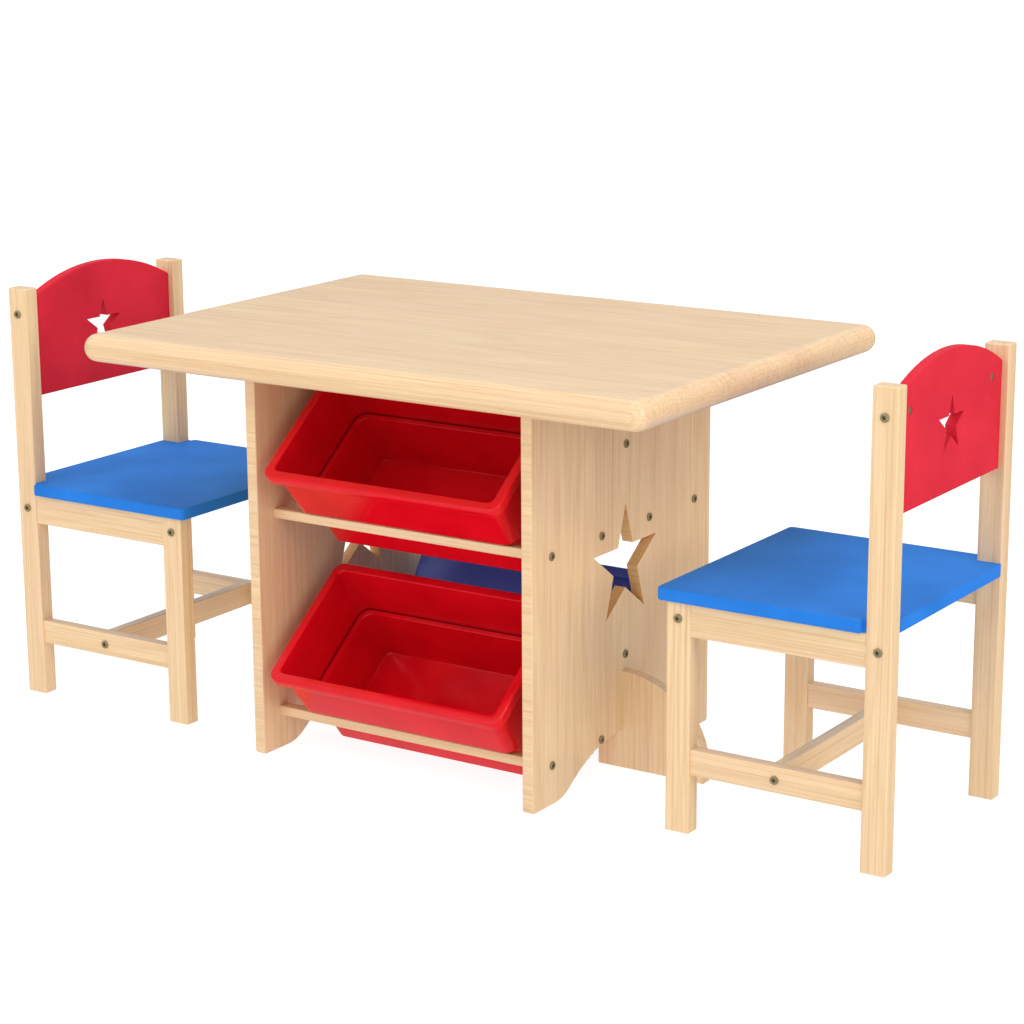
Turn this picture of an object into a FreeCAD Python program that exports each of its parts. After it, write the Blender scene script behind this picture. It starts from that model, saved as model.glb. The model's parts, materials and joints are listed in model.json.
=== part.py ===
import FreeCAD, Part
import math
import os
import Sketcher

# Children's activity table with four tilted toy tubs and two matching chairs.
# Millimetres, +Z up, the floor is Z = 0. The origin is the middle of the whole set's footprint,
# so the table stands a little to the -X side of it.
# X runs along the table, the red tubs face -Y and the blue tubs face +Y.
# "near" pieces lie on the -Y side, "far" pieces on the +Y side.

doc = FreeCAD.newDocument("kids_table_and_chairs")
sheet = doc.addObject("Spreadsheet::Sheet", "sizes")

SIZES = [
    # where the middle of the table stands
    ("table_x", -5.15),
    # table top
    ("top_length", 850.0),
    ("top_width", 613.0),
    ("top_thick", 36.4),
    ("top_height", 558.1),
    ("top_corner", 21.0),
    ("top_edge", 18.0),
    # side panels with the star window and the arch
    ("panel_outer", 220.0),
    ("panel_thick", 15.8),
    ("panel_half_depth", 220.0),
    ("foot_flat", 168.0),
    ("foot_curve", 60.0),
    ("arch_curve", 239.3),
    ("foot_corner", 5.0),
    ("star_height", 272.9),
    ("star_radius", 80.7),
    ("star_ratio", 0.382),
    ("board_ease", 1.6),
    # outrigger feet under the panel arches
    ("wing_thick", 16.0),
    ("wing_inner", 185.0),
    ("wing_outer", 342.0),
    ("wing_toe", 20.0),
    ("wing_rise", 111.3),
    ("wing_tongue", 50.9),
    # rails between the panels
    ("rail_depth", 18.0),
    ("rail_tall", 13.0),
    ("rail_ease", 2.0),
    ("rail_outer_y", 176.3),
    ("rail_inner_y", 58.7),
    ("rail_upper_z", 323.0),
    ("rail_lower_z", 52.4),
    ("mid_thick", 16.0),
    ("top_rail_z", 431.4),
    ("top_rail_tall", 64.0),
    ("low_rail_z", 152.7),
    ("low_rail_tall", 44.0),
    # bolts and barrel nuts
    ("bolt_shank", 3.0),
    ("bolt_hole", 3.3),
    ("bolt_head", 5.4),
    ("bolt_head_tall", 2.4),
    ("bolt_socket", 2.6),
    ("bolt_grip", 34.0),
    ("nut_radius", 5.0),
    ("nut_hole", 5.2),
    ("nut_inset", 28.0),
    ("back_nut_long", 11.0),
    ("back_nut_hole", 12.2),
    ("cross_nut_hole", 25.0),
    ("cross_nut_long", 16.0),
    ("cheek_bolt_long", 18.0),
    ("cheek_hole_deep", 19.0),
    # toy tubs
    ("tub_tilt", 37.5),
    ("tub_shift", 4.2),
    ("tub_front_y", 246.5),
    ("tub_front_z", 389.0),
    ("tub_half_width", 181.0),
    ("tub_depth", 199.2),
    ("tub_corner", 15.0),
    ("tub_flange", 3.0),
    ("tub_skirt", 13.6),
    ("tub_skirt_thick", 2.6),
    ("tub_wall_in", 10.4),
    ("tub_wall", 2.5),
    ("tub_top_corner", 10.5),
    ("tub_step_corner", 19.5),
    ("tub_step_z", 81.6),
    ("tub_step_in", 19.0),
    ("tub_step_front", 27.0),
    ("tub_low_corner", 18.0),
    ("tub_floor_z", 156.5),
    ("tub_floor_corner", 12.0),
    ("tub_floor_round", 3.6),
    ("tub_floor_in", 26.3),
    # chairs
    ("chair_width", 331.4),
    ("chair_depth", 295.6),
    ("chair_tall", 581.4),
    ("leg_depth", 32.5),
    ("leg_thick", 22.8),
    ("leg_ease", 2.0),
    ("seat_height", 308.0),
    ("seat_thick", 16.2),
    ("seat_front", 11.0),
    ("seat_side", 7.0),
    ("seat_notch", 4.2),
    ("seat_corner", 7.0),
    ("seat_ease", 2.2),
    ("apron_bottom", 249.5),
    ("apron_thick", 18.0),
    ("apron_in", 1.4),
    ("tenon_long", 24.0),
    ("tenon_thick", 10.0),
    ("tenon_bottom", 254.0),
    ("tenon_top", 287.0),
    ("tenon_gap", 0.2),
    ("stretcher_top", 107.8),
    ("stretcher_bottom", 74.7),
    ("stretcher_thick", 16.0),
    ("stretcher_in", 3.0),
    ("cross_thick", 16.0),
    ("apron_bolt_z", 271.0),
    ("stretcher_bolt_z", 90.9),
    ("back_bolt_z", 545.6),
    ("back_in", 8.9),
    ("back_thick", 14.4),
    ("back_bottom", 427.2),
    ("back_apex", 599.0),
    ("back_curve", 300.0),
    ("back_star_z", 508.5),
    ("back_star_radius", 36.4),
    ("chair_right_x", 529.3),
    ("chair_right_y", -7.3),
    ("chair_left_x", -519.0),
    ("chair_left_y", -14.5),
]

for row, (alias, number) in enumerate(SIZES, start=1):
    sheet.set("A%d" % row, alias)
    sheet.set("B%d" % row, str(number))
    sheet.setAlias("B%d" % row, alias)
doc.recompute()


def val(alias):
    return float(sheet.get(alias))


def vec(x, y, z=0.0):
    return FreeCAD.Vector(x, y, z)


finished = []


def new_body(label):
    body = doc.addObject("PartDesign::Body", label)
    body.Label = label
    finished.append(body)
    return body


def place(body, x, y, z, turn=0.0, tilt=0.0):
    """Put a body where the three sheet expressions say, turned about Z after a tilt about X."""
    rot = FreeCAD.Rotation(vec(0, 0, 1), turn) * FreeCAD.Rotation(vec(1, 0, 0), tilt)
    body.Placement = FreeCAD.Placement(vec(0, 0), rot)
    body.setExpression(".Placement.Base.x", "sizes.table_x + (%s)" % x)
    body.setExpression(".Placement.Base.y", y)
    body.setExpression(".Placement.Base.z", z)


def new_sketch(body, name, role, offset=None):
    sk = body.newObject("Sketcher::SketchObject", name)
    plane = [f for f in body.Origin.OriginFeatures if f.Role == role][0]
    sk.AttachmentSupport = (plane, [""])
    sk.MapMode = "FlatFace"
    if offset is not None:
        sk.setExpression(".AttachmentOffset.Base.z", offset)
    return sk


def rectangle(sk, wide, tall):
    """Rectangle from the sketch origin, both sides driven by sheet expressions."""
    corners = [vec(0, 0), vec(50, 0), vec(50, 30), vec(0, 30)]
    for i in range(4):
        sk.addGeometry(Part.LineSegment(corners[i], corners[(i + 1) % 4]), False)
    for i in range(4):
        sk.addConstraint(Sketcher.Constraint("Coincident", i, 2, (i + 1) % 4, 1))
    for i in (0, 2):
        sk.addConstraint(Sketcher.Constraint("Horizontal", i))
    for i in (1, 3):
        sk.addConstraint(Sketcher.Constraint("Vertical", i))
    sk.addConstraint(Sketcher.Constraint("Coincident", 0, 1, -1, 1))
    across = sk.addConstraint(Sketcher.Constraint("DistanceX", 0, 1, 0, 2, 50))
    up = sk.addConstraint(Sketcher.Constraint("DistanceY", 1, 1, 1, 2, 30))
    sk.setExpression("Constraints[%d]" % across, wide)
    sk.setExpression("Constraints[%d]" % up, tall)


def circle(sk, x, y, radius):
    """Circle whose centre and radius are sheet expressions; its centre stays right of and above
    the sketch origin."""
    index = sk.addGeometry(Part.Circle(vec(10, 10), vec(0, 0, 1), 3.0), False)
    across = sk.addConstraint(Sketcher.Constraint("DistanceX", -1, 1, index, 3, 10))
    up = sk.addConstraint(Sketcher.Constraint("DistanceY", -1, 1, index, 3, 10))
    size = sk.addConstraint(Sketcher.Constraint("Radius", index, 3.0))
    sk.setExpression("Constraints[%d]" % across, x)
    sk.setExpression("Constraints[%d]" % up, y)
    sk.setExpression("Constraints[%d]" % size, radius)


def outline(sk, curves):
    for curve in curves:
        sk.addGeometry(curve, False)


def polygon(sk, points):
    count = len(points)
    outline(sk, [Part.LineSegment(points[i], points[(i + 1) % count]) for i in range(count)])


def pad(body, sk, length):
    feature = body.newObject("PartDesign::Pad", sk.Name + "_pad")
    feature.Profile = sk
    feature.setExpression("Length", length)
    doc.recompute()
    return feature


def cut(body, sk, depth=None, flip=False):
    """Pocket a sketch through everything, or to a depth; a pocket that removes nothing is an error."""
    before = body.Shape.Volume
    feature = body.newObject("PartDesign::Pocket", sk.Name + "_cut")
    feature.Profile = sk
    if depth is None:
        feature.Type = "ThroughAll"
    else:
        feature.setExpression("Length", depth)
    feature.Reversed = flip
    doc.recompute()
    if before - body.Shape.Volume < 1.0:
        raise RuntimeError("empty cut " + feature.Name)
    return feature


def soften(body, radius, wanted):
    """Round the edges of the body's tip that the test picks."""
    tip = body.Tip
    names = ["Edge%d" % (i + 1) for i, edge in enumerate(tip.Shape.Edges) if wanted(edge)]
    feature = body.newObject("PartDesign::Fillet", body.Name + "_round")
    feature.Base = (tip, names)
    feature.setExpression("Radius", radius)
    doc.recompute()
    return feature


def along(edge, axis):
    """True for a straight edge parallel to an axis given as 0, 1 or 2."""
    if not isinstance(edge.Curve, Part.Line):
        return False
    return abs(edge.Curve.Direction[axis]) > 0.999


def star_points(cx, cy, outer, ratio):
    points = []
    for k in range(10):
        radius = outer if k % 2 == 0 else outer * ratio
        angle = math.radians(90.0 + 36.0 * k)
        points.append(vec(cx + radius * math.cos(angle), cy + radius * math.sin(angle)))
    return points


def rounded(x0, y0, x1, y1, r):
    """Edges of a rectangle with round corners, anticlockwise."""
    q = math.pi / 2.0
    centres = [(x1 - r, y0 + r, 3), (x1 - r, y1 - r, 0), (x0 + r, y1 - r, 1), (x0 + r, y0 + r, 2)]
    arcs = []
    for cx, cy, k in centres:
        arcs.append(Part.ArcOfCircle(Part.Circle(vec(cx, cy), vec(0, 0, 1), r), k * q, (k + 1) * q))
    curves = []
    for i in range(4):
        curves.append(Part.LineSegment(arcs[i - 1].EndPoint, arcs[i].StartPoint))
        curves.append(arcs[i])
    return curves


# ---------------------------------------------------------------- table top
top = new_body("table_top")
sk = new_sketch(top, "top_outline", "XY_Plane")
half_l = val("top_length") / 2.0
half_w = val("top_width") / 2.0
outline(sk, rounded(-half_l, -half_w, half_l, half_w, val("top_corner")))
pad(top, sk, "sizes.top_thick")
soften(top, "sizes.top_edge", lambda e: not along(e, 2) and abs(e.BoundBox.ZLength) < 0.01)
place(top, "0", "0", "sizes.top_height - sizes.top_thick")

# ---------------------------------------------------------------- side panels
DEEP = val("panel_half_depth")
PANEL_TALL = val("top_height") - val("top_thick")
FLAT = val("foot_flat")
R_FOOT = val("foot_curve")
R_ARCH = val("arch_curve")
R_TOE = val("foot_corner")
LEAN = math.asin(FLAT / (R_FOOT + R_ARCH))
CROWN = (R_FOOT + R_ARCH) * (1.0 - math.cos(LEAN))


def panel_curves():
    """Panel outline in Y and Z: rounded toes, flat feet, swept up into a shallow arch."""
    q = math.pi / 2.0
    turn = vec(0, 0, 1)
    left_toe = Part.ArcOfCircle(Part.Circle(vec(-DEEP + R_TOE, R_TOE), turn, R_TOE), 2 * q, 3 * q)
    right_toe = Part.ArcOfCircle(Part.Circle(vec(DEEP - R_TOE, R_TOE), turn, R_TOE), 3 * q, 4 * q)
    left_sweep = Part.ArcOfCircle(Part.Circle(vec(-FLAT, R_FOOT), turn, R_FOOT), 3 * q, 3 * q + LEAN)
    right_sweep = Part.ArcOfCircle(Part.Circle(vec(FLAT, R_FOOT), turn, R_FOOT), 3 * q - LEAN, 3 * q)
    arch = Part.ArcOfCircle(Part.Circle(vec(0, CROWN - R_ARCH), turn, R_ARCH), q - LEAN, q + LEAN)
    return [
        left_toe,
        Part.LineSegment(left_toe.EndPoint, left_sweep.StartPoint),
        left_sweep,
        arch,
        right_sweep,
        Part.LineSegment(right_sweep.EndPoint, right_toe.StartPoint),
        right_toe,
        Part.LineSegment(right_toe.EndPoint, vec(DEEP, PANEL_TALL)),
        Part.LineSegment(vec(DEEP, PANEL_TALL), vec(-DEEP, PANEL_TALL)),
        Part.LineSegment(vec(-DEEP, PANEL_TALL), left_toe.StartPoint),
    ]


RAIL_ROWS = (("upper", "rail_upper_z"), ("lower", "rail_lower_z"))
RAIL_LINES = (
    ("front_outer", -1, "rail_outer_y"),
    ("front_inner", -1, "rail_inner_y"),
    ("rear_inner", 1, "rail_inner_y"),
    ("rear_outer", 1, "rail_outer_y"),
)


def panel_bolt_spots():
    """Y and Z of every bolt that goes through one side panel."""
    spots = []
    for row_name, row_z in RAIL_ROWS:
        for line_name, side, line_y in RAIL_LINES:
            spots.append((side * val(line_y), val(row_z)))
    spots.append((0.0, val("top_rail_z")))
    spots.append((0.0, val("low_rail_z")))
    return spots


for label, start in (("side_panel_left", "-sizes.panel_outer"),
                     ("side_panel_right", "sizes.panel_outer - sizes.panel_thick")):
    body = new_body(label)
    sk = new_sketch(body, label + "_outline", "YZ_Plane")
    outline(sk, panel_curves())
    pad(body, sk, "sizes.panel_thick")
    soften(body, "sizes.board_ease",
           lambda e: abs(e.BoundBox.XLength) < 0.01 and e.BoundBox.ZMax < PANEL_TALL + 0.01
           and not (along(e, 1) and e.BoundBox.ZMin > PANEL_TALL - 1.0))
    sk = new_sketch(body, label + "_star", "YZ_Plane")
    polygon(sk, star_points(0.0, val("star_height"), val("star_radius"), val("star_ratio")))
    cut(body, sk, None, True)
    sk = new_sketch(body, label + "_bolt_holes", "YZ_Plane")
    hole = val("bolt_hole")
    outline(sk, [Part.Circle(vec(y, z), vec(0, 0, 1), hole) for y, z in panel_bolt_spots()])
    cut(body, sk, None, True)
    place(body, start, "0", "0")

# ---------------------------------------------------------------- outrigger feet
for label, turn in (("wing_foot_right", 0.0), ("wing_foot_left", 180.0)):
    body = new_body(label)
    sk = new_sketch(body, label + "_outline", "XZ_Plane", "-sizes.wing_thick / 2")
    x_in = val("wing_inner")
    x_face = val("panel_outer")
    x_out = val("wing_outer")
    z_toe = val("wing_toe")
    rise = val("wing_rise")
    tongue = val("wing_tongue")
    wave = Part.Ellipse(vec(x_face, z_toe), x_out - x_face, rise)
    outline(sk, [
        Part.LineSegment(vec(x_in, 0), vec(x_out, 0)),
        Part.LineSegment(vec(x_out, 0), vec(x_out, z_toe)),
        Part.ArcOfEllipse(wave, 0.0, math.pi / 2.0),
        Part.LineSegment(vec(x_face, z_toe + rise), vec(x_face, tongue)),
        Part.LineSegment(vec(x_face, tongue), vec(x_in, tongue)),
        Part.LineSegment(vec(x_in, tongue), vec(x_in, 0)),
    ])
    pad(body, sk, "sizes.wing_thick")
    place(body, "0", "0", "0", turn)

# ---------------------------------------------------------------- rails between the panels
SPAN = "2 * (sizes.panel_outer - sizes.panel_thick)"


def rail(label, deep, tall, centre_y, centre_z, ease):
    """Rail along X with a blind bolt hole in each end."""
    body = new_body(label)
    sk = new_sketch(body, label + "_section", "YZ_Plane")
    rectangle(sk, deep, tall)
    pad(body, sk, SPAN)
    soften(body, ease, lambda e: along(e, 0))
    for end, offset, flip in (("left", "0", True), ("right", SPAN, False)):
        sk = new_sketch(body, "%s_%s_hole" % (label, end), "YZ_Plane", offset)
        circle(sk, "(%s) / 2" % deep, "(%s) / 2" % tall, "sizes.bolt_hole")
        cut(body, sk, "sizes.bolt_grip + 2", flip)
    place(body, "-(%s) / 2" % SPAN, "%s - (%s) / 2" % (centre_y, deep),
          "%s - (%s) / 2" % (centre_z, tall))


for row_name, row_z in RAIL_ROWS:
    for line_name, side, line_y in RAIL_LINES:
        rail("rail_%s_%s" % (row_name, line_name), "sizes.rail_depth", "sizes.rail_tall",
             "%d * sizes.%s" % (side, line_y), "sizes." + row_z, "sizes.rail_ease")
rail("centre_rail_top", "sizes.mid_thick", "sizes.top_rail_tall", "0", "sizes.top_rail_z",
     "sizes.board_ease")
rail("centre_rail_low", "sizes.mid_thick", "sizes.low_rail_tall", "0", "sizes.low_rail_z",
     "sizes.board_ease")


# ---------------------------------------------------------------- bolts and nuts
def bolt(grip):
    """Bolt along +X: the head stands proud of X = 0 on the -X side, the shank runs to +X."""
    head = Part.makeCylinder(val("bolt_head"), val("bolt_head_tall"), vec(-val("bolt_head_tall"), 0),
                             vec(1, 0))
    rim = [e for e in head.Edges if e.BoundBox.XMax < -val("bolt_head_tall") + 0.01]
    head = head.makeFillet(0.9, rim)
    shank = Part.makeCylinder(val("bolt_shank"), grip, vec(0, 0), vec(1, 0))
    body = head.fuse(shank)
    six = []
    for k in range(6):
        angle = math.radians(60.0 * k)
        six.append(vec(-val("bolt_head_tall"), val("bolt_socket") * math.cos(angle),
                       val("bolt_socket") * math.sin(angle)))
    socket = Part.Face(Part.makePolygon(six + six[:1])).extrude(vec(val("bolt_head_tall") + 1.0, 0))
    return body.cut(socket).removeSplitter()


def group(label, solids, placement):
    """Several loose identical fasteners kept as one named group of separate solids."""
    feature = doc.addObject("Part::Feature", label)
    feature.Label = label
    feature.Shape = Part.makeCompound(solids)
    feature.Placement = placement
    finished.append(feature)


table_bolts = []
for y, z in panel_bolt_spots():
    for turn in (0.0, 180.0):
        one = bolt(val("panel_thick") + val("bolt_grip"))
        one.rotate(vec(0, 0), vec(0, 0, 1), turn)
        side = -1.0 if turn == 0.0 else 1.0
        one.translate(vec(side * val("panel_outer"), y, z))
        table_bolts.append(one)
group("table_bolts", table_bolts, FreeCAD.Placement(vec(val("table_x"), 0), FreeCAD.Rotation()))

# ---------------------------------------------------------------- toy tubs
TUB_A = val("tub_half_width")
TUB_D = val("tub_depth")
TUB_R = val("tub_corner")


def tub_section(body, name, level, side_in, front_in, radius):
    """Round-cornered outline of the tub, inset from the rim, at a level below the rim."""
    sk = new_sketch(body, name, "XY_Plane", "-(%s)" % level)
    outline(sk, rounded(-TUB_A + side_in, front_in, TUB_A - side_in, TUB_D - side_in, radius))
    return sk


def loft(body, kind, first, second):
    feature = body.newObject("PartDesign::" + kind, first.Name + "_loft")
    feature.Profile = first
    feature.Sections = [second]
    feature.Ruled = True
    doc.recompute()
    return feature


def tub(label, side, level_z):
    """Stepped tub hanging from its rim; local Z is square to the rim, local Y runs from the low
    front edge to the high back edge."""
    body = new_body(label)
    wall = val("tub_wall")
    skin = val("tub_wall_in")
    step = val("tub_step_in")
    step_f = val("tub_step_front")
    base = val("tub_floor_in")
    edge = "sizes.tub_flange"
    flange = tub_section(body, label + "_flange", edge, 0.0, 0.0, TUB_R)
    pad(body, flange, edge)
    skirt = tub_section(body, label + "_skirt", "sizes.tub_skirt", 0.0, 0.0, TUB_R)
    thin = val("tub_skirt_thick")
    outline(skirt, rounded(-TUB_A + thin, thin, TUB_A - thin, TUB_D - thin, TUB_R - thin))
    pad(body, skirt, "sizes.tub_skirt - sizes.tub_flange")
    # the corners of the upper wall widen towards the step; the step is as thick as the wall
    top_r = val("tub_top_corner")
    step_r = val("tub_step_corner")
    wall_a = tub_section(body, label + "_wall_a", edge, skin, skin, top_r)
    wall_b = tub_section(body, label + "_wall_b", "sizes.tub_step_z", skin, skin, step_r)
    loft(body, "AdditiveLoft", wall_a, wall_b)
    low_r = val("tub_low_corner")
    floor_r = val("tub_floor_corner")
    low_a = tub_section(body, label + "_low_a", "sizes.tub_step_z - sizes.tub_wall", step, step_f, low_r)
    low_b = tub_section(body, label + "_low_b", "sizes.tub_floor_z", base, base, floor_r)
    loft(body, "AdditiveLoft", low_a, low_b)
    soften(body, "sizes.tub_floor_round",
           lambda e: e.BoundBox.ZMax < -val("tub_floor_z") + 0.01)
    soften(body, "sizes.tub_wall",
           lambda e: abs(e.BoundBox.ZMax + val("tub_step_z")) < 0.01 and edge_on_wall(e, skin))
    inner_a = tub_section(body, label + "_inner_a", "0", skin + wall, skin + wall, top_r - wall)
    inner_b = tub_section(body, label + "_inner_b", "sizes.tub_step_z - sizes.tub_wall",
                          skin + wall, skin + wall, step_r - wall)
    loft(body, "SubtractiveLoft", inner_a, inner_b)
    deep_a = tub_section(body, label + "_deep_a", "sizes.tub_step_z - sizes.tub_wall",
                         step + wall, step_f + wall, low_r - wall)
    deep_b = tub_section(body, label + "_deep_b", "sizes.tub_floor_z - sizes.tub_wall",
                         base + wall, base + wall, floor_r - wall)
    loft(body, "SubtractiveLoft", deep_a, deep_b)
    soften(body, "sizes.tub_flange * 0.45",
           lambda e: e.BoundBox.ZLength < 0.01 and e.BoundBox.ZMax > -0.01)
    place(body, "sizes.tub_shift", "-%d * sizes.tub_front_y" % side, level_z,
          0.0 if side > 0 else 180.0, val("tub_tilt"))
    return body


def edge_on_wall(edge, skin):
    """True for a level edge that runs along the outside of the upper wall."""
    if edge.BoundBox.ZLength > 0.01:
        return False
    insets = [min(TUB_A - abs(p.x), p.y, TUB_D - p.y) for p in edge.discretize(5)]
    return max(insets) < skin + 0.35 * val("tub_step_corner")


UPPER = "sizes.tub_front_z"
LOWER = "sizes.tub_front_z - sizes.rail_upper_z + sizes.rail_lower_z"
tub("tub_red_upper", 1, UPPER)
tub("tub_red_lower", 1, LOWER)
tub("tub_blue_upper", -1, UPPER)
tub("tub_blue_lower", -1, LOWER)

# ---------------------------------------------------------------- chairs
HALF = "sizes.chair_width / 2"
INNER = "(sizes.chair_width - 2 * sizes.leg_thick)"
SIDE_LONG = "(sizes.chair_depth - 2 * sizes.leg_depth)"
UNDER = "(sizes.seat_height - sizes.seat_thick)"


def chair_place(body, side, u, v, z):
    """u runs from the chair's rear to its front, v across it; side is the way the chair faces."""
    cx = "sizes.chair_left_x" if side > 0 else "sizes.chair_right_x"
    cy = "sizes.chair_left_y" if side > 0 else "sizes.chair_right_y"
    place(body, "%s + %d * (%s - sizes.chair_depth / 2)" % (cx, side, u),
          "%s + %d * (%s)" % (cy, side, v), z, 0.0 if side > 0 else 180.0)


def upright(label, side, u, v, hand, tall, bolt_levels, tenon_from):
    """Leg or post; hand is -1 or 1 for the side of the chair its outer face is on. The bolt holes
    start on the outer face, and the mortise for the apron's tenon starts at tenon_from."""
    body = new_body(label)
    sk = new_sketch(body, label + "_section", "XY_Plane")
    rectangle(sk, "sizes.leg_depth", "sizes.leg_thick")
    pad(body, sk, tall)
    top_z = body.Shape.BoundBox.ZMax
    soften(body, "sizes.leg_ease",
           lambda e: along(e, 2) or (len(bolt_levels) > 1 and e.BoundBox.ZMin > top_z - 0.01))
    outside_high = hand > 0
    middle = val("apron_in") + val("apron_thick") / 2.0
    if outside_high:
        middle = val("leg_thick") - middle
    half = val("tenon_thick") / 2.0 + val("tenon_gap")
    start = tenon_from
    stop = tenon_from + val("tenon_long") + 1.0
    sk = new_sketch(body, label + "_mortise", "XY_Plane", "sizes.tenon_bottom - sizes.tenon_gap")
    polygon(sk, [vec(start, middle - half), vec(stop, middle - half), vec(stop, middle + half),
                 vec(start, middle + half)])
    cut(body, sk, "sizes.tenon_top - sizes.tenon_bottom + 2 * sizes.tenon_gap", True)
    for number, (level, depth) in enumerate(bolt_levels):
        sk = new_sketch(body, "%s_hole_%d" % (label, number), "XZ_Plane",
                        "-sizes.leg_thick" if outside_high else "0")
        circle(sk, "sizes.leg_depth / 2", level, "sizes.bolt_hole")
        cut(body, sk, depth, outside_high)
    chair_place(body, side, u, v, "0")


def apron(label, side, v):
    """Board under the seat's side, with a stub tenon at each end for leg and post."""
    body = new_body(label)
    sk = new_sketch(body, label + "_section", "YZ_Plane")
    rectangle(sk, "sizes.apron_thick", UNDER + " - sizes.apron_bottom")
    pad(body, sk, SIDE_LONG)
    soften(body, "sizes.board_ease", lambda e: along(e, 0))
    long = val("chair_depth") - 2.0 * val("leg_depth")
    low = val("apron_thick") / 2.0 - val("tenon_thick") / 2.0
    high = low + val("tenon_thick")
    base = val("tenon_bottom") - val("apron_bottom")
    crest = val("tenon_top") - val("apron_bottom")
    for end, offset, flip in (("rear", "0", True), ("front", SIDE_LONG, False)):
        sk = new_sketch(body, "%s_%s_tenon" % (label, end), "YZ_Plane", offset)
        polygon(sk, [vec(low, base), vec(high, base), vec(high, crest), vec(low, crest)])
        pad(body, sk, "sizes.tenon_long").Reversed = flip
        doc.recompute()
    reach = val("leg_depth") / 2.0
    level = val("apron_bolt_z") - val("apron_bottom")
    sk = new_sketch(body, label + "_nut_holes", "XZ_Plane")
    spots = (-reach, long + reach)
    outline(sk, [Part.Circle(vec(x, level), vec(0, 0, 1), val("nut_hole")) for x in spots])
    cut(body, sk)
    chair_place(body, side, "sizes.leg_depth", v, "sizes.apron_bottom")


def stretcher(label, side, v):
    """Low bar along the chair's side between leg and post, with the bolt hole of the cross bar."""
    body = new_body(label)
    sk = new_sketch(body, label + "_section", "YZ_Plane")
    rectangle(sk, "sizes.stretcher_thick", "sizes.stretcher_top - sizes.stretcher_bottom")
    pad(body, sk, SIDE_LONG)
    soften(body, "sizes.board_ease", lambda e: along(e, 0))
    sk = new_sketch(body, label + "_hole", "XZ_Plane")
    circle(sk, SIDE_LONG + " / 2", "sizes.stretcher_bolt_z - sizes.stretcher_bottom", "sizes.bolt_hole")
    cut(body, sk)
    chair_place(body, side, "sizes.leg_depth", v, "sizes.stretcher_bottom")


def cross_stretcher(label, side):
    """Bar across the chair between the stretchers: a bolt hole in each end and blind holes from
    below for the barrel nuts."""
    long = "(sizes.chair_width - 2 * sizes.stretcher_in - 2 * sizes.stretcher_thick)"
    level = "sizes.stretcher_bolt_z - sizes.stretcher_bottom"
    body = new_body(label)
    sk = new_sketch(body, label + "_section", "XZ_Plane", "-" + long)
    rectangle(sk, "sizes.cross_thick", "sizes.stretcher_top - sizes.stretcher_bottom")
    pad(body, sk, long)
    soften(body, "sizes.board_ease", lambda e: along(e, 1))
    sk = new_sketch(body, label + "_bolts", "XZ_Plane")
    circle(sk, "sizes.cross_thick / 2", level, "sizes.bolt_hole")
    cut(body, sk, "sizes.bolt_grip + 2")
    sk = new_sketch(body, label + "_bolts_far", "XZ_Plane", "-" + long)
    circle(sk, "sizes.cross_thick / 2", level, "sizes.bolt_hole")
    cut(body, sk, "sizes.bolt_grip + 2", True)
    sk = new_sketch(body, label + "_nuts", "XY_Plane")
    circle(sk, "sizes.cross_thick / 2", "sizes.nut_inset", "sizes.nut_hole")
    circle(sk, "sizes.cross_thick / 2", long + " - sizes.nut_inset", "sizes.nut_hole")
    cut(body, sk, "sizes.cross_nut_hole", True)
    chair_place(body, side, "sizes.chair_depth / 2 - sizes.cross_thick / 2", "-%s / 2" % long,
                "sizes.stretcher_bottom")


def seat(label, side):
    """Seat board: overhangs the frame in front and at the sides, notched round both posts."""
    body = new_body(label)
    sk = new_sketch(body, label + "_outline", "XY_Plane")
    front = val("chair_depth") + val("seat_front")
    wide = val("chair_width") / 2.0 + val("seat_side")
    neck = val("chair_width") / 2.0 - val("leg_thick") - 0.3
    shoulder = val("leg_depth") + 0.3
    lip = val("leg_depth") + val("seat_notch")
    flush = val("chair_width") / 2.0 - 1.0
    half = [vec(0, neck), vec(shoulder, neck), vec(shoulder, flush), vec(lip, flush), vec(lip, wide),
            vec(front, wide)]
    polygon(sk, half + [vec(p.x, -p.y) for p in reversed(half)])
    pad(body, sk, "sizes.seat_thick")
    soften(body, "sizes.seat_corner", lambda e: along(e, 2) and e.CenterOfMass.x > front - 1.0)
    soften(body, "sizes.seat_ease", lambda e: e.BoundBox.ZLength < 0.01 and on_seat_rim(e, wide, front))
    chair_place(body, side, "0", "0", UNDER)


def on_seat_rim(edge, wide, front):
    mid = edge.BoundBox.Center
    corner = val("seat_corner")
    return mid.x > front - corner or abs(mid.y) > wide - corner


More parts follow.
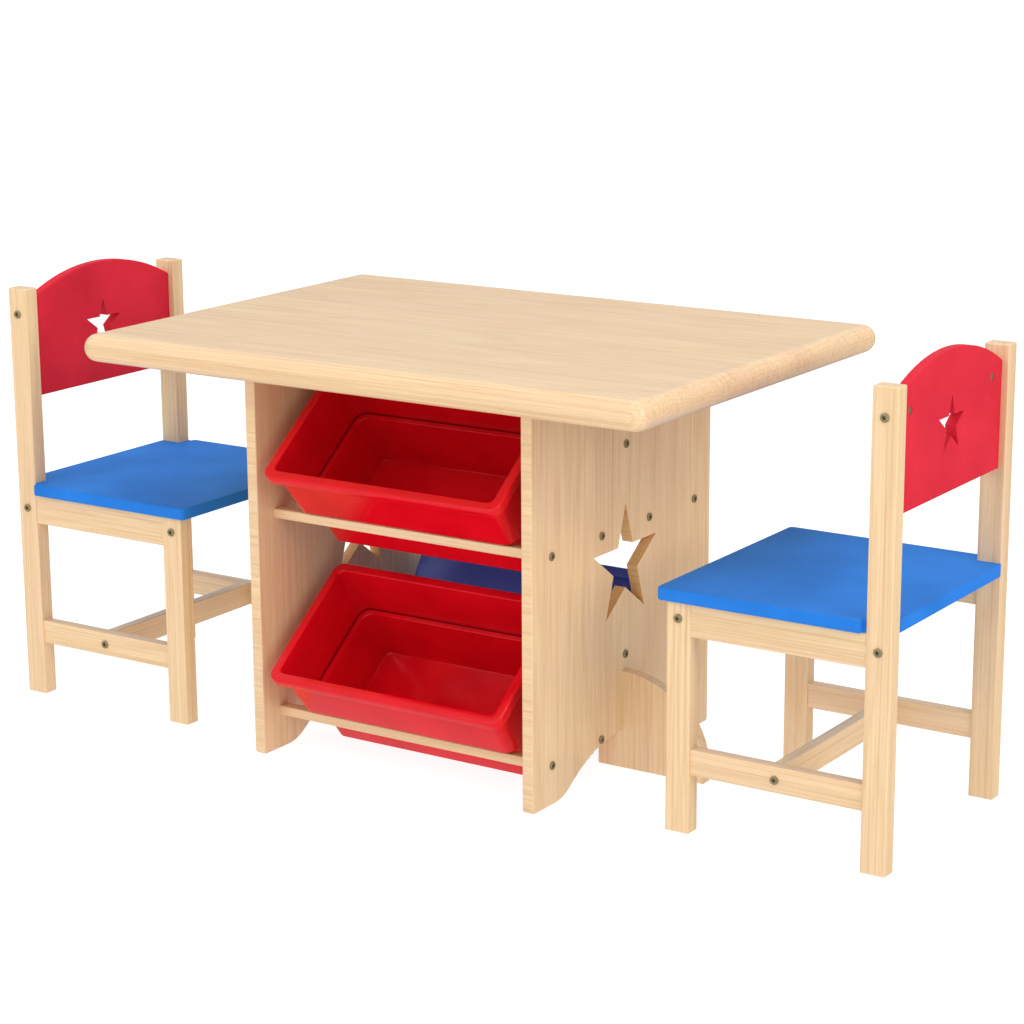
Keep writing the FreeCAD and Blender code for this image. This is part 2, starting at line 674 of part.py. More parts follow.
def backrest(label, side):
    """Arched back board with a star window, bolt holes in its ends and blind barrel-nut holes in
    its rear face."""
    body = new_body(label)
    sk = new_sketch(body, label + "_outline", "YZ_Plane")
    half = val("chair_width") / 2.0 - val("leg_thick")
    low = val("back_bottom")
    bow = val("back_curve")
    centre = val("back_apex") - bow
    spread = math.asin(half / bow)
    arc = Part.ArcOfCircle(Part.Circle(vec(0, centre), vec(0, 0, 1), bow), math.pi / 2.0 - spread,
                           math.pi / 2.0 + spread)
    outline(sk, [
        arc,
        Part.LineSegment(arc.EndPoint, vec(-half, low)),
        Part.LineSegment(vec(-half, low), vec(half, low)),
        Part.LineSegment(vec(half, low), arc.StartPoint),
    ])
    pad(body, sk, "sizes.back_thick")
    soften(body, "sizes.board_ease",
           lambda e: e.BoundBox.XLength < 0.01 and not along(e, 2))
    sk = new_sketch(body, label + "_star", "YZ_Plane")
    polygon(sk, star_points(0.0, val("back_star_z"), val("back_star_radius"), val("star_ratio")))
    cut(body, sk, None, True)
    level = val("back_bolt_z")
    inset = half - val("nut_inset")
    sk = new_sketch(body, label + "_nuts", "YZ_Plane")
    outline(sk, [Part.Circle(vec(s * inset, level), vec(0, 0, 1), val("nut_hole")) for s in (-1, 1)])
    cut(body, sk, "sizes.back_nut_hole", True)
    for name, offset, flip in (("near", INNER + " / 2", False), ("far", "-%s / 2" % INNER, True)):
        sk = new_sketch(body, "%s_bolt_%s" % (label, name), "XZ_Plane", offset)
        circle(sk, "sizes.back_thick / 2", "sizes.back_bolt_z", "sizes.bolt_hole")
        cut(body, sk, "sizes.bolt_grip + 2", flip)
    chair_place(body, side, "sizes.back_in", "0", "0")


def chair_frame_placement(side):
    """Placement that carries u, v, z of a chair into the world."""
    cx = val("table_x") + (val("chair_left_x") if side > 0 else val("chair_right_x"))
    cy = val("chair_left_y") if side > 0 else val("chair_right_y")
    turn = FreeCAD.Rotation(vec(0, 0, 1), 0.0 if side > 0 else 180.0)
    return FreeCAD.Placement(vec(cx - side * val("chair_depth") / 2.0, cy), turn)


def nut(radius, long, base, direction, bolt_point):
    """Plain barrel from a base point along a direction, bored across for a bolt along Y."""
    barrel = Part.makeCylinder(radius, long, base, direction)
    reach = 4.0 * radius
    bore = Part.makeCylinder(val("bolt_hole"), reach, bolt_point - vec(0, reach / 2.0), vec(0, 1))
    return barrel.cut(bore)


def chair_fasteners(prefix, side):
    """Four bolts each side of the chair: two into rings in the apron's tenons, one into the
    backrest and one into the cross stretcher, each with its own nut."""
    outer = val("chair_width") / 2.0
    leg = val("leg_thick")
    reach = val("nut_radius")
    back_u = val("back_in") + val("back_thick") / 2.0
    middle_u = val("chair_depth") / 2.0
    bar = val("stretcher_thick")
    bolts = []
    nuts = []

    def screw(u, v, z, hand, grip):
        one = bolt(grip)
        one.rotate(vec(0, 0), vec(0, 0, 1), 90.0 if hand < 0 else -90.0)
        one.translate(vec(u, v, z))
        bolts.append(one)

    for hand in (-1.0, 1.0):
        for u in (val("leg_depth") / 2.0, val("chair_depth") - val("leg_depth") / 2.0):
            z = val("apron_bolt_z")
            screw(u, hand * outer, z, hand, val("cheek_bolt_long"))
            tenon_v = hand * (outer - val("apron_in") - val("apron_thick") / 2.0)
            start = vec(u, tenon_v - val("tenon_thick") / 2.0, z)
            nuts.append(nut(reach, val("tenon_thick"), start, vec(0, 1), vec(u, tenon_v, z)))
        z = val("back_bolt_z")
        screw(back_u, hand * outer, z, hand, leg + val("bolt_grip"))
        v = hand * (outer - leg - val("nut_inset"))
        start = vec(val("back_in") + 0.8, v, z)
        nuts.append(nut(reach, val("back_nut_long"), start, vec(1, 0), vec(back_u, v, z)))
        z = val("stretcher_bolt_z")
        face = outer - val("stretcher_in")
        screw(middle_u, hand * face, z, hand, bar + val("bolt_grip"))
        v = hand * (face - bar - val("nut_inset"))
        start = vec(middle_u, v, z - val("cross_nut_long") / 2.0)
        nuts.append(nut(reach, val("cross_nut_long"), start, vec(0, 0, 1), vec(middle_u, v, z)))
    group(prefix + "_bolts", bolts, chair_frame_placement(side))
    group(prefix + "_nuts", nuts, chair_frame_placement(side))


def chair(prefix, side):
    front_u = "sizes.chair_depth - sizes.leg_depth"
    cheek = ("sizes.apron_bolt_z", "sizes.cheek_hole_deep")
    back = ("sizes.back_bolt_z", "sizes.leg_thick")
    rear_mortise = val("leg_depth") - val("tenon_long") - 1.0
    for hand_name, hand in (("near", -side), ("far", side)):
        # v of each piece's low corner
        leg_v = "-" + HALF if hand < 0 else HALF + " - sizes.leg_thick"
        apron_v = ("-%s + sizes.apron_in" % HALF if hand < 0
                   else "%s - sizes.apron_in - sizes.apron_thick" % HALF)
        bar_v = ("-%s + sizes.stretcher_in" % HALF if hand < 0
                 else "%s - sizes.stretcher_in - sizes.stretcher_thick" % HALF)
        upright("%s_leg_%s" % (prefix, hand_name), side, front_u, leg_v, hand, UNDER, [cheek], 0.0)
        upright("%s_post_%s" % (prefix, hand_name), side, "0", leg_v, hand, "sizes.chair_tall",
                [cheek, back], rear_mortise)
        apron("%s_apron_%s" % (prefix, hand_name), side, apron_v)
        stretcher("%s_stretcher_%s" % (prefix, hand_name), side, bar_v)
    cross_stretcher(prefix + "_cross_stretcher", side)
    seat(prefix + "_seat", side)
    backrest(prefix + "_backrest", side)
    chair_fasteners(prefix, side)


chair("chair_left", 1)
chair("chair_right", -1)

# ---------------------------------------------------------------- check and export
doc.recompute()
for thing in doc.Objects:
    for state in thing.State:
        if state in ("Invalid", "Error"):
            raise RuntimeError("%s is %s" % (thing.Name, state))
os.makedirs("parts", exist_ok=True)
for piece in finished:
    shape = piece.Shape
    if shape.isNull() or not shape.isValid() or not shape.Solids:
        raise RuntimeError("bad shape " + piece.Label)
    shape.exportStep("parts/%s.step" % piece.Label)
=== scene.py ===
import json
import math

import bmesh
import bpy
from mathutils import Matrix, Vector


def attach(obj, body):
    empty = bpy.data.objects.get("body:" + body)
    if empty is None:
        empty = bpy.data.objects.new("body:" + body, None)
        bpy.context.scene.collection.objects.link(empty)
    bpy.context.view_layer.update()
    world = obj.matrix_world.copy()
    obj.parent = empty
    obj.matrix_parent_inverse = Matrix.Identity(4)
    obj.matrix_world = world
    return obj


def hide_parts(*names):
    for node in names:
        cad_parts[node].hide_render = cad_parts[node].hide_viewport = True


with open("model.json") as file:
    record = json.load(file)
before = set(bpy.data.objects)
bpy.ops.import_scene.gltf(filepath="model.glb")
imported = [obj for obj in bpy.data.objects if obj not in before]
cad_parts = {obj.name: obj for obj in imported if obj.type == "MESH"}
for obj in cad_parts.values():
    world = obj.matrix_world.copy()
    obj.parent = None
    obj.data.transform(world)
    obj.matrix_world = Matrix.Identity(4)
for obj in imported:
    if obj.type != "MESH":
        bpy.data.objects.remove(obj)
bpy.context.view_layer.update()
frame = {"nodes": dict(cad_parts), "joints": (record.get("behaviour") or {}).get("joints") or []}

# Looks of a children's activity table with four toy tubs and two chairs.
# Metres, in the part's own frame: X runs along the table, the red tubs face -Y, +Z is up.

# ---------------------------------------------------------------- camera and light
CAMERA_AZIMUTH = math.radians(33.514)
CAMERA_HEIGHT_ANGLE = math.radians(14.049)
CAMERA_ROLL = math.radians(-0.364)
CAMERA_PLACE = Vector((1.90838, -2.82029, 1.16514))
CAMERA_LENS = 93.21
SENSOR = 36.0
FLOOR_SIZE = 160.0
SKY_FRONT = 0.72       # light from the front, the right and above
SKY_AIM = Vector((0.42, -0.76, 0.50))
# light from the far side at a height between straight down, -1, and straight up, 1
SKY_BACK = ((-0.60, 0.40), (-0.32, 0.14), (0.08, 0.14), (0.24, 0.74), (1.0, 0.70))
FLOOR_GLOW = 0.88
FLOOR_PALE = 0.30
LIGHT_AIM = Vector((0.0, 0.0, 0.3))
SOFTBOXES = (
    # name, place, side of the square, watts
    ("front_softbox", (-1.2, -4.5, 3.2), 3.5, 66.0),
    ("right_softbox", (4.5, -1.2, 2.6), 3.0, 88.0),
    ("top_softbox", (0.0, 0.5, 5.0), 4.0, 74.0),
)

# ---------------------------------------------------------------- colours, linear
WOOD_LIGHT = (0.86, 0.635, 0.362)
WOOD_MID = (0.76, 0.50, 0.258)
WOOD_DARK = (0.56, 0.30, 0.125)
WOOD_PINK = (0.84, 0.575, 0.355)
CUT_TINT = (1.0, 0.92, 0.70)        # sawn end grain that has soaked up lacquer
RED_PAINT = (0.65, 0.018, 0.039)
BLUE_PAINT = (0.019, 0.196, 0.690)
RED_PLASTIC = (0.74, 0.003, 0.012)
BLUE_PLASTIC = (0.120, 0.225, 0.920)
CREASE_SHADE = 0.45    # painted shade: how dark the crease inside a tub is painted
BRASS = (0.46, 0.38, 0.22)
BRASS_DARK = (0.26, 0.205, 0.11)


# ---------------------------------------------------------------- shader graph helpers
class Graph:
    """A short way to add shader nodes to a tree and join them."""

    def __init__(self, tree):
        self.tree = tree

    def node(self, kind, inputs=None, **settings):
        made = self.tree.nodes.new(kind)
        for name, value in settings.items():
            setattr(made, name, value)
        for key, value in (inputs or {}).items():
            self.feed(made.inputs[key], value)
        return made

    def feed(self, socket, value):
        """A socket takes another node's output, or a plain value."""
        if isinstance(value, bpy.types.NodeSocket):
            self.tree.links.new(value, socket)
        else:
            socket.default_value = value

    def math(self, operation, first, second=0.0, third=0.0, clamp=False):
        made = self.node("ShaderNodeMath", {0: first, 1: second, 2: third}, operation=operation,
                         use_clamp=clamp)
        return made.outputs[0]

    def mix(self, share, first, second, blend="MIX"):
        made = self.node("ShaderNodeMix", data_type="RGBA", blend_type=blend)
        self.feed(made.inputs["Factor"], share)
        self.feed(made.inputs[6], first)
        self.feed(made.inputs[7], second)
        return made.outputs[2]

    def ramp(self, value, low, high):
        """Zero below low, one above high, straight between."""
        made = self.node("ShaderNodeMapRange", {"Value": value, "From Min": low, "From Max": high})
        return made.outputs["Result"]

    def combine(self, x, y, z):
        return self.node("ShaderNodeCombineXYZ", {0: x, 1: y, 2: z}).outputs[0]

    def noise(self, vector, scale, detail=2.0, rough=0.5, distort=0.0):
        made = self.node("ShaderNodeTexNoise", {
            "Vector": vector, "Scale": scale, "Detail": detail, "Roughness": rough,
            "Distortion": distort})
        return made.outputs["Fac"]


def colour(rgb):
    return (rgb[0], rgb[1], rgb[2], 1.0)


# ---------------------------------------------------------------- wood
STAVE = 0.062          # width of the glued staves
RING = 0.0042          # spacing of the growth rings
PITH_DEPTH = 0.050     # how far the heart of each stave lies under its face
STAR_HEIGHT = 0.2729   # middle of the star windows
STAR_REACH = 0.095     # their sawn sides lie within this distance of it
RINGS_SHOW = 0.42      # how strongly each mark in the wood shows
LINES_SHOW = 0.40
FIBRES_SHOW = 0.34
PORES_SHOW = 0.26
SEED_STEP = 7.37       # keeps the grain of one piece from repeating in the next
SEED_START = 0.5


def wood_group():
    """Solid wood: growth rings round a wandering pith in every glued stave, fibres and pores.
    It takes grain-aligned coordinates: X along the grain, Y across the board, Z through it."""
    tree = bpy.data.node_groups.new("wood_grain", "ShaderNodeTree")
    face = tree.interface
    face.new_socket("Place", in_out="INPUT", socket_type="NodeSocketVector")
    face.new_socket("Seed", in_out="INPUT", socket_type="NodeSocketFloat")
    face.new_socket("Colour", in_out="OUTPUT", socket_type="NodeSocketColor")
    face.new_socket("Roughness", in_out="OUTPUT", socket_type="NodeSocketFloat")
    face.new_socket("Height", in_out="OUTPUT", socket_type="NodeSocketFloat")
    g = Graph(tree)
    source = g.node("NodeGroupInput")
    result = g.node("NodeGroupOutput")
    seed = source.outputs["Seed"]
    parts = g.node("ShaderNodeSeparateXYZ", {0: source.outputs["Place"]})
    along, across, through = parts.outputs[0], parts.outputs[1], parts.outputs[2]

    # which stave, and where in it
    count = g.math("ADD", g.math("DIVIDE", across, STAVE), seed)
    stave = g.math("FLOOR", count)
    within = g.math("MULTIPLY", g.math("SUBTRACT", g.math("FRACT", count), 0.5), STAVE)
    dice = g.node("ShaderNodeTexWhiteNoise", {"Vector": g.combine(stave, seed, 3.0)},
                  noise_dimensions="3D")
    luck = g.node("ShaderNodeSeparateXYZ", {0: dice.outputs["Color"]})
    shifted = g.math("ADD", along, g.math("MULTIPLY", luck.outputs[0], 3.0))

    # rings round the pith, wandering slowly along the grain
    slow = g.combine(g.math("MULTIPLY", shifted, 1.6), g.math("MULTIPLY", across, 9.0),
                     g.math("MULTIPLY_ADD", through, 9.0, stave))
    wander = g.math("SUBTRACT", g.noise(slow, 1.0, 1.5), 0.5)
    off_centre = g.math("SUBTRACT", luck.outputs[1], 0.5)
    side = g.math("ADD", within, g.math("MULTIPLY", off_centre, 0.07))
    deep = g.math("ADD", through, g.math("MULTIPLY_ADD", luck.outputs[2], 0.05, PITH_DEPTH))
    radius = g.math("SQRT", g.math("ADD", g.math("MULTIPLY", side, side),
                                   g.math("MULTIPLY", deep, deep)))
    radius = g.math("MULTIPLY_ADD", wander, 0.030, radius)
    uneven = g.noise(g.combine(g.math("MULTIPLY", radius, 90.0), seed, 0.0), 1.0, 1.0)
    turns = g.math("ADD", g.math("DIVIDE", radius, RING), g.math("MULTIPLY", uneven, 1.6))
    swing = g.math("SINE", g.math("MULTIPLY", turns, 2.0 * math.pi))
    wave = g.math("MULTIPLY_ADD", swing, 0.5, 0.5)
    rings = g.math("POWER", wave, 2.2)

    # long fibres, short dark pores
    fibre_place = g.combine(g.math("MULTIPLY", shifted, 7.0), g.math("MULTIPLY", across, 420.0),
                            g.math("MULTIPLY", through, 420.0))
    fibre = g.noise(fibre_place, 1.0, 3.0, 0.6)
    pore_place = g.combine(g.math("MULTIPLY", shifted, 42.0), g.math("MULTIPLY", across, 1300.0),
                           g.math("MULTIPLY", through, 1300.0))
    pores = g.ramp(g.noise(pore_place, 1.0, 1.0), 0.60, 0.76)

    # reddish lines a few millimetres apart
    line_place = g.combine(g.math("MULTIPLY", shifted, 1.3), g.math("MULTIPLY", across, 330.0),
                           g.math("MULTIPLY_ADD", through, 90.0, seed))
    lines = g.ramp(g.noise(line_place, 1.0, 2.0, 0.6), 0.50, 0.74)

    # broad bands of tone
    band_place = g.combine(g.math("MULTIPLY", shifted, 2.2), g.math("MULTIPLY", across, 34.0),
                           g.math("MULTIPLY_ADD", through, 34.0, seed))
    band = g.noise(band_place, 1.0, 3.0, 0.55)

    tone = g.mix(g.ramp(band, 0.34, 0.70), colour(WOOD_LIGHT), colour(WOOD_PINK))
    tone = g.mix(g.math("MULTIPLY", rings, RINGS_SHOW), tone, colour(WOOD_MID))
    tone = g.mix(g.math("MULTIPLY", lines, LINES_SHOW), tone, colour(WOOD_DARK))
    fibres_here = g.math("MULTIPLY", g.ramp(fibre, 0.48, 0.72), FIBRES_SHOW)
    tone = g.mix(fibres_here, tone, colour(WOOD_DARK))
    tone = g.mix(g.math("MULTIPLY", pores, PORES_SHOW), tone, colour(WOOD_DARK))
    shade = g.math("MULTIPLY_ADD", luck.outputs[1], 0.05, 0.96)
    tone = g.node("ShaderNodeVectorMath", {0: tone, 1: g.combine(shade, shade, shade)},
                  operation="MULTIPLY").outputs[0]
    g.feed(result.inputs["Colour"], tone)
    g.feed(result.inputs["Roughness"], g.math("MULTIPLY_ADD", fibre, 0.16, 0.36))
    relief = g.math("SUBTRACT", g.math("MULTIPLY", fibre, 0.5), pores)
    g.feed(result.inputs["Height"], relief)
    return tree


def oiled_wood(name, grain, across, seed, group, edge=None):
    """Clear-lacquered wood whose grain runs along one axis of the part: 0, 1 or 2. Faces square
    to the edge axis show the grain lying across the board instead, and the sawn sides of the
    star window are darker."""
    material = bpy.data.materials.new(name)
    material.use_nodes = True
    g = Graph(material.node_tree)
    shader = material.node_tree.nodes["Principled BSDF"]
    place = g.node("ShaderNodeTexCoord").outputs["Object"]
    parts = g.node("ShaderNodeSeparateXYZ", {0: place})
    through = 3 - grain - across
    turned = g.combine(parts.outputs[grain], parts.outputs[across], parts.outputs[through])
    cut = None
    if edge is not None:
        normal = g.node("ShaderNodeTexCoord").outputs["Normal"]
        facing = g.node("ShaderNodeSeparateXYZ", {0: normal})
        square = g.math("GREATER_THAN", g.math("ABSOLUTE", facing.outputs[edge]), 0.75)
        crossed = g.combine(parts.outputs[through], parts.outputs[grain], parts.outputs[across])
        picked = g.node("ShaderNodeMix", data_type="VECTOR")
        g.feed(picked.inputs["Factor"], square)
        g.feed(picked.inputs[4], turned)
        g.feed(picked.inputs[5], crossed)
        turned = picked.outputs[1]
        flat = g.combine(0.0, parts.outputs[1], parts.outputs[2])
        reach = g.node("ShaderNodeVectorMath", {0: flat, 1: (0.0, 0.0, STAR_HEIGHT)},
                       operation="DISTANCE")
        near = g.math("LESS_THAN", reach.outputs["Value"], STAR_REACH)
        sawn = g.math("LESS_THAN", g.math("ABSOLUTE", facing.outputs[0]), 0.5)
        cut = g.math("MULTIPLY", near, sawn)
    wood = g.node("ShaderNodeGroup", node_tree=group)
    g.feed(wood.inputs["Place"], turned)
    wood.inputs["Seed"].default_value = seed
    bump = g.node("ShaderNodeBump", {"Height": wood.outputs["Height"], "Strength": 0.12,
                                     "Distance": 0.0004})
    shown = wood.outputs["Colour"]
    if cut is not None:
        shown = g.mix(cut, shown, colour(CUT_TINT), "MULTIPLY")
    g.feed(shader.inputs["Base Color"], shown)
    g.feed(shader.inputs["Roughness"], wood.outputs["Roughness"])
    g.feed(shader.inputs["Normal"], bump.outputs[0])
    shader.inputs["IOR"].default_value = 1.45
    shader.inputs["Coat Weight"].default_value = 0.45
    shader.inputs["Coat Roughness"].default_value = 0.10
    return material


# ---------------------------------------------------------------- paint, plastic and brass
def paint(name, rgb, seed):
    """Sprayed satin paint: faint clouds of tone and orange peel show in it."""
    material = bpy.data.materials.new(name)
    material.use_nodes = True
    g = Graph(material.node_tree)
    shader = material.node_tree.nodes["Principled BSDF"]
    place = g.node("ShaderNodeTexCoord").outputs["Object"]
    moved = g.node("ShaderNodeMapping", {"Vector": place, "Location": (seed, 0.3 * seed, 0.0)})
    peel = g.noise(moved.outputs[0], 420.0, 2.0)
    cloud = g.noise(moved.outputs[0], 9.0, 3.0)
    darker = colour([0.86 * c for c in rgb])
    lighter = colour([min(1.0, 1.08 * c + 0.004) for c in rgb])
    g.feed(shader.inputs["Base Color"], g.mix(g.ramp(cloud, 0.3, 0.7), darker, lighter))
    g.feed(shader.inputs["Roughness"], g.math("MULTIPLY_ADD", peel, 0.14, 0.42))
    bump = g.node("ShaderNodeBump", {"Height": peel, "Strength": 0.05, "Distance": 0.0003})
    g.feed(shader.inputs["Normal"], bump.outputs[0])
    shader.inputs["IOR"].default_value = 1.40
    shader.inputs["Specular IOR Level"].default_value = 0.09
    return material


def plastic(name, rgb):
    """Glossy injection-moulded plastic with faint flow clouds and handling scuffs."""
    material = bpy.data.materials.new(name)
    material.use_nodes = True
    g = Graph(material.node_tree)
    shader = material.node_tree.nodes["Principled BSDF"]
    place = g.node("ShaderNodeTexCoord").outputs["Object"]
    flow = g.noise(place, 14.0, 3.0)
    fine = g.noise(place, 900.0, 2.0)
    scuff = g.ramp(g.noise(place, 55.0, 4.0, 0.7, 0.6), 0.56, 0.78)
    darker = colour([0.90 * c for c in rgb])
    lighter = colour([1.06 * c + 0.002 for c in rgb])
    g.feed(shader.inputs["Base Color"], g.mix(g.ramp(flow, 0.3, 0.7), darker, lighter))
    rough = g.math("MULTIPLY_ADD", scuff, 0.05, g.math("MULTIPLY_ADD", fine, 0.04, 0.07))
    g.feed(shader.inputs["Roughness"], rough)
    bump = g.node("ShaderNodeBump", {"Height": fine, "Strength": 0.03, "Distance": 0.0002})
    g.feed(shader.inputs["Normal"], bump.outputs[0])
    shader.inputs["IOR"].default_value = 1.49
    shader.inputs["Specular IOR Level"].default_value = 0.36
    return material


def brass(name):
    """Antique-brass plated steel with darker blotches and brushed scratches."""
    material = bpy.data.materials.new(name)
    material.use_nodes = True
    g = Graph(material.node_tree)
    shader = material.node_tree.nodes["Principled BSDF"]
    place = g.node("ShaderNodeTexCoord").outputs["Object"]
    blotch = g.noise(place, 700.0, 3.0, 0.6)
    scratch = g.noise(place, 2600.0, 2.0)
    g.feed(shader.inputs["Base Color"],
           g.mix(g.ramp(blotch, 0.35, 0.65), colour(BRASS_DARK), colour(BRASS)))
    g.feed(shader.inputs["Roughness"], g.math("MULTIPLY_ADD", scratch, 0.20, 0.34))
    bump = g.node("ShaderNodeBump", {"Height": scratch, "Strength": 0.15, "Distance": 0.0002})
    g.feed(shader.inputs["Normal"], bump.outputs[0])
    shader.inputs["Metallic"].default_value = 0.7
    return material


# ---------------------------------------------------------------- dress the CAD pieces
# grain axis and stave axis of each kind of wooden piece, by a word in its name
X, Y, Z = 0, 1, 2
GRAIN = (
    ("table_top", X, Y),
    ("side_panel", Z, Y),
    ("wing_foot", Z, X),
    ("centre_rail", X, Z),
    ("rail_upper", X, Y),
    ("rail_lower", X, Y),
    ("_leg_", Z, X),
    ("_post_", Z, X),
    ("_apron_", X, Z),
    ("_stretcher_near", X, Z),
    ("_stretcher_far", X, Z),
    ("_cross_stretcher", Y, Z),
)


def dress(node, material):
    slots = frame["nodes"][node].material_slots
    for slot in slots:
        slot.material = material


def grain_of(name):
    for word, grain, across in GRAIN:
        if word in name:
            return grain, across
    return None


group = wood_group()
brass_finish = brass("antique_brass")
red_paint = paint("red_satin_paint", RED_PAINT, 1.7)
blue_paint = paint("blue_satin_paint", BLUE_PAINT, 4.1)
red_plastic = plastic("red_moulded_plastic", RED_PLASTIC)
blue_plastic = plastic("blue_moulded_plastic", BLUE_PLASTIC)
# darker copies of the plastics: painted shade for the crease round each tub's step
red_painted_crease_shade = plastic("red_plastic_painted_crease_shade", [CREASE_SHADE * c for c in RED_PLASTIC])
blue_painted_crease_shade = plastic("blue_plastic_painted_crease_shade", [CREASE_SHADE * c for c in BLUE_PLASTIC])

for number, name in enumerate(sorted(frame["nodes"])):
    found = grain_of(name)
    if found:
        edge = Y if name.startswith("side_panel") else None
        seed = SEED_STEP * number + SEED_START
        dress(name, oiled_wood("wood_" + name, found[0], found[1], seed, group, edge))
    elif name.endswith("_bolts") or name.endswith("_nuts"):
        dress(name, brass_finish)
    elif name.endswith("_seat"):
        dress(name, blue_paint)
    elif name.endswith("_backrest"):
        dress(name, red_paint)

# ---------------------------------------------------------------- toy tubs
CORNER_STEPS = 9       # faces round a quarter turn of the outline
ROUND_STEPS = 4        # faces round an edge of the section
WALL = 0.0025
SKIRT = 0.0136
SKIRT_THICK = 0.0026
FLANGE = 0.0030
STEP = 0.0816          # level of the step below the rim
GROOVE = 0.0020        # depth of the crease round the step
GROOVE_WIDE = 0.0023
SHARP = math.radians(50.0)
TUB_LINES = {
    # inset of the sides and back, inset of the front, corner radius
    "rim": (0.0, 0.0, 0.0150),
    "wall": (0.0104, 0.0104, 0.0105),
    "wall_foot": (0.0104, 0.0104, 0.0195),
    "step": (0.0190, 0.0270, 0.0180),
    "base": (0.0263, 0.0263, 0.0120),
}


def turned_edge(line, inset, level, radius, start, stop):
    """Points round a quarter circle of the section, from one angle to another in degrees."""
    points = []
    for k in range(ROUND_STEPS + 1):
        angle = math.radians(start + (stop - start) * k / ROUND_STEPS)
        points.append((line, inset + radius * math.cos(angle), level + radius * math.sin(angle)))
    return points


def tub_section(height):
    """The tub's section from the middle of its underside, up the outside, over the rim and down
    the inside: line it follows, inset from that line, level against the rim."""
    foot, edge, lip, fold = 0.0036, 0.0018, 0.0020, 0.0025
    section = turned_edge("base", foot, foot - height, foot, 270, 180)
    section.append(("step", 0.0, -STEP))
    section += turned_edge("wall_foot", edge, -STEP + edge, edge, 270, 180)
    section.append(("wall", 0.0, -FLANGE))
    section.append(("rim", SKIRT_THICK, -FLANGE))
    half = SKIRT_THICK / 2.0
    section += turned_edge("rim", half, half - SKIRT, half, 0, -180)
    section += turned_edge("rim", lip, -lip, lip, 180, 90)
    section += turned_edge("wall", WALL - edge, -edge, edge, 90, 0)
    ledge = -STEP + WALL
    section.append(("wall_foot", WALL, ledge + 0.0004))
    section.append(("wall_foot", WALL, ledge - GROOVE))
    section.append(("wall_foot", WALL + GROOVE_WIDE, ledge - GROOVE))
    section.append(("wall_foot", WALL + GROOVE_WIDE, ledge))
    section += turned_edge("step", WALL - edge, ledge - edge, edge, 90, 0)
    section += turned_edge("base", WALL + fold, WALL + fold - height, fold, 180, 270)
    return section


def outline(line, inset, level, half, deep):
    """One level ring of the tub's surface, as points round its rounded outline."""
    side, front, radius = TUB_LINES[line]
    corner = max(radius - inset, 0.002)
    right = half - side - inset - corner
    near = front + inset + corner
    far = deep - side - inset - corner
    points = []
    for quarter, (x, y) in enumerate(((right, near), (right, far), (-right, far), (-right, near))):
        for k in range(CORNER_STEPS + 1):
            angle = math.radians(90.0 * (quarter - 1 + k / CORNER_STEPS))
            reach = corner * Vector((math.cos(angle), math.sin(angle), 0.0))
            points.append(Vector((x, y, level)) + reach)
    return points


def build_tub(node, material, crease):
    """A stepped tub in the place of a CAD tub: its tilt comes from the joint that lifts it."""
    joint = [j for j in frame["joints"] if j["child"] == node][0]
    up = Vector(joint["axis"]).normalized()
    back = Vector((0.0, -math.copysign(1.0, up.y), 0.0))
    back = (back - back.dot(up) * up).normalized()
    turn = Matrix((back.cross(up), back, up)).transposed()
    seen = [turn.inverted() @ v.co for v in frame["nodes"][node].data.vertices]
    low = Vector([min(p[i] for p in seen) for i in range(3)])
    high = Vector([max(p[i] for p in seen) for i in range(3)])
    half = (high.x - low.x) / 2.0
    origin = Vector(((low.x + high.x) / 2.0, low.y, high.z))
    mesh = bmesh.new()
    rings = []
    section = tub_section(high.z - low.z)
    for line, inset, level in section:
        ring = outline(line, inset, level, half, high.y - low.y)
        rings.append([mesh.verts.new(turn @ (origin + p)) for p in ring])
    # faces in the crease round the step take the second material, which paints the crease's shade
    gets_painted_shade = [line == "wall_foot" and inset >= WALL for line, inset, level in section]
    count = len(rings[0])
    for number, (outer, inner) in enumerate(zip(rings, rings[1:])):
        for k in range(count):
            after = (k + 1) % count
            face = mesh.faces.new((outer[k], outer[after], inner[after], inner[k]))
            face.material_index = int(gets_painted_shade[number] and gets_painted_shade[number + 1])
    mesh.faces.new(list(reversed(rings[0])))
    mesh.faces.new(rings[-1])
    bmesh.ops.recalc_face_normals(mesh, faces=mesh.faces)
    for face in mesh.faces:
        face.smooth = True
    for edge in mesh.edges:
        if len(edge.link_faces) == 2 and edge.calc_face_angle() > SHARP:
            edge.smooth = False
    data = bpy.data.meshes.new(node + "_moulded")
    mesh.to_mesh(data)
    mesh.free()
    data.materials.append(material)
    data.materials.append(crease)
    tub = bpy.data.objects.new(node + "_moulded", data)
    bpy.context.scene.collection.objects.link(tub)
    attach(tub, node)
    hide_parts(node)
    return tub


build_tub("tub_red_upper", red_plastic, red_painted_crease_shade)
build_tub("tub_red_lower", red_plastic, red_painted_crease_shade)
build_tub("tub_blue_upper", blue_plastic, blue_painted_crease_shade)
build_tub("tub_blue_lower", blue_plastic, blue_painted_crease_shade)


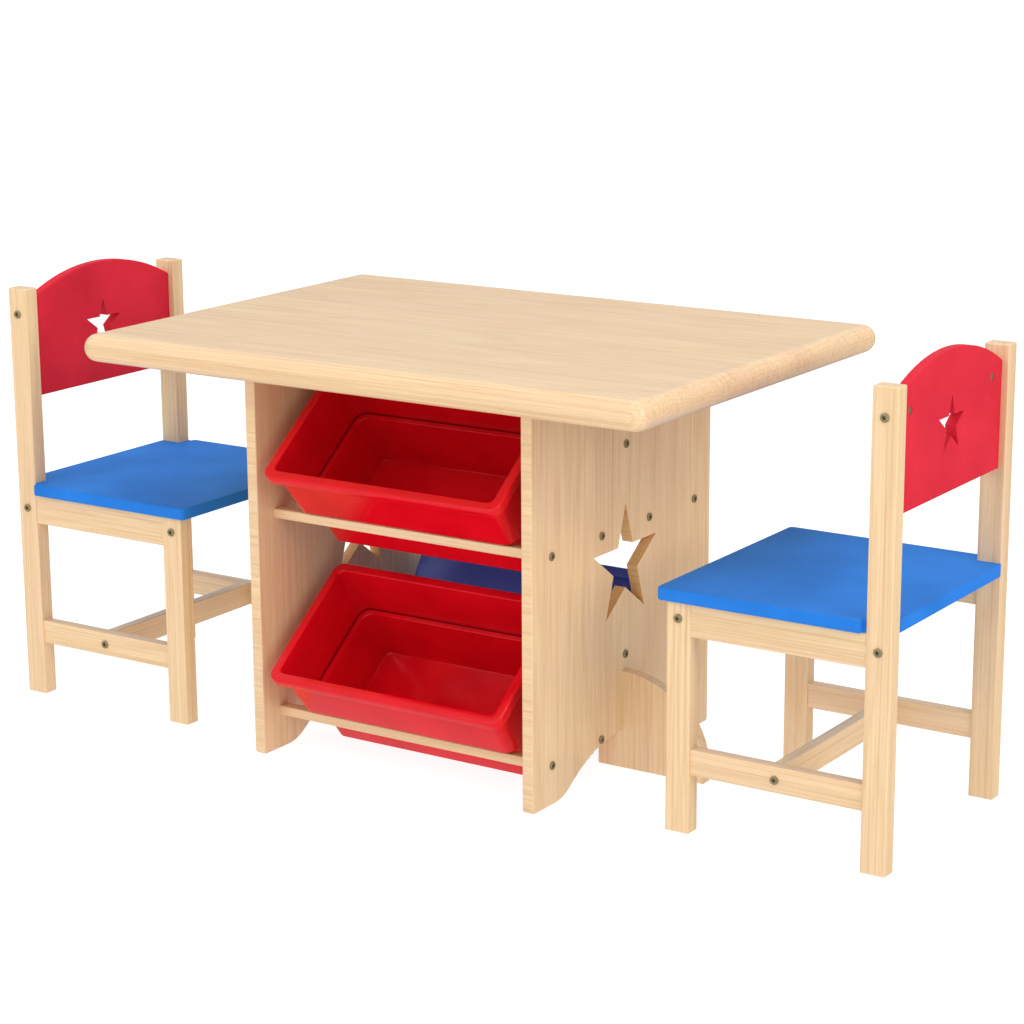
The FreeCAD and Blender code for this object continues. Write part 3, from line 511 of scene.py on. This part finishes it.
# ---------------------------------------------------------------- stage
def build_floor():
    half = FLOOR_SIZE / 2.0
    data = bpy.data.meshes.new("studio_floor")
    data.from_pydata([(-half, -half, 0), (half, -half, 0), (half, half, 0), (-half, half, 0)], [],
                     [(0, 1, 2, 3)])
    floor = bpy.data.objects.new("studio_floor", data)
    bpy.context.scene.collection.objects.link(floor)
    material = bpy.data.materials.new("pale_floor")
    material.use_nodes = True
    shader = material.node_tree.nodes["Principled BSDF"]
    shader.inputs["Base Color"].default_value = (FLOOR_PALE, FLOOR_PALE, FLOOR_PALE, 1.0)
    shader.inputs["Roughness"].default_value = 1.0
    shader.inputs["Specular IOR Level"].default_value = 0.0
    shader.inputs["Emission Color"].default_value = (1.0, 1.0, 1.0, 1.0)
    shader.inputs["Emission Strength"].default_value = FLOOR_GLOW
    data.materials.append(material)
    floor.visible_glossy = False


def build_light(name, place, size, power):
    lamp = bpy.data.lights.new(name, "AREA")
    lamp.shape = "SQUARE"
    lamp.size = size
    lamp.energy = power
    holder = bpy.data.objects.new(name, lamp)
    holder.location = place
    holder.rotation_euler = (LIGHT_AIM - Vector(place)).to_track_quat("-Z", "Y").to_euler()
    bpy.context.scene.collection.objects.link(holder)


def build_camera():
    a, e = CAMERA_AZIMUTH, CAMERA_HEIGHT_ANGLE
    back = Vector((math.sin(a) * math.cos(e), -math.cos(a) * math.cos(e), math.sin(e)))
    right = Vector((math.cos(a), math.sin(a), 0.0))
    up = back.cross(right)
    cos_roll, sin_roll = math.cos(CAMERA_ROLL), math.sin(CAMERA_ROLL)
    across = cos_roll * right + sin_roll * up
    over = cos_roll * up - sin_roll * right
    data = bpy.data.cameras.new("camera")
    data.sensor_width = SENSOR
    data.lens = CAMERA_LENS
    data.clip_end = 2.0 * FLOOR_SIZE
    camera = bpy.data.objects.new("camera", data)
    turn = Matrix((across, over, back)).transposed().to_4x4()
    camera.matrix_world = Matrix.Translation(CAMERA_PLACE) @ turn
    bpy.context.scene.collection.objects.link(camera)
    bpy.context.scene.camera = camera


def build_world():
    """A soft sky: bright towards SKY_AIM, with a dim horizon on the opposite side."""
    world = bpy.data.worlds.new("studio")
    world.use_nodes = True
    g = Graph(world.node_tree)
    sky = world.node_tree.nodes["Background"]
    way = g.node("ShaderNodeTexCoord").outputs["Generated"]
    height = g.node("ShaderNodeSeparateXYZ", {0: way}).outputs[2]
    back = g.node("ShaderNodeValToRGB", {"Fac": g.math("MULTIPLY_ADD", height, 0.5, 0.5)})
    steps = back.color_ramp.elements
    while len(steps) < len(SKY_BACK):
        steps.new(0.5)
    for step, (level, light) in zip(steps, SKY_BACK):
        step.position = 0.5 + 0.5 * level
        step.color = (light, light, light, 1.0)
    toward = g.node("ShaderNodeVectorMath", {0: way, 1: SKY_AIM.normalized()},
                    operation="DOT_PRODUCT").outputs["Value"]
    front = g.ramp(toward, -0.35, 0.45)
    gain = g.math("MULTIPLY", front, g.math("SUBTRACT", SKY_FRONT, back.outputs["Color"]))
    level = g.math("ADD", back.outputs["Color"], gain)
    sky.inputs["Color"].default_value = (1.0, 1.0, 1.0, 1.0)
    g.feed(sky.inputs["Strength"], level)
    bpy.context.scene.world = world
    bpy.context.scene.view_settings.view_transform = "Standard"


build_floor()
build_world()
for softbox in SOFTBOXES:
    build_light(*softbox)
build_camera()
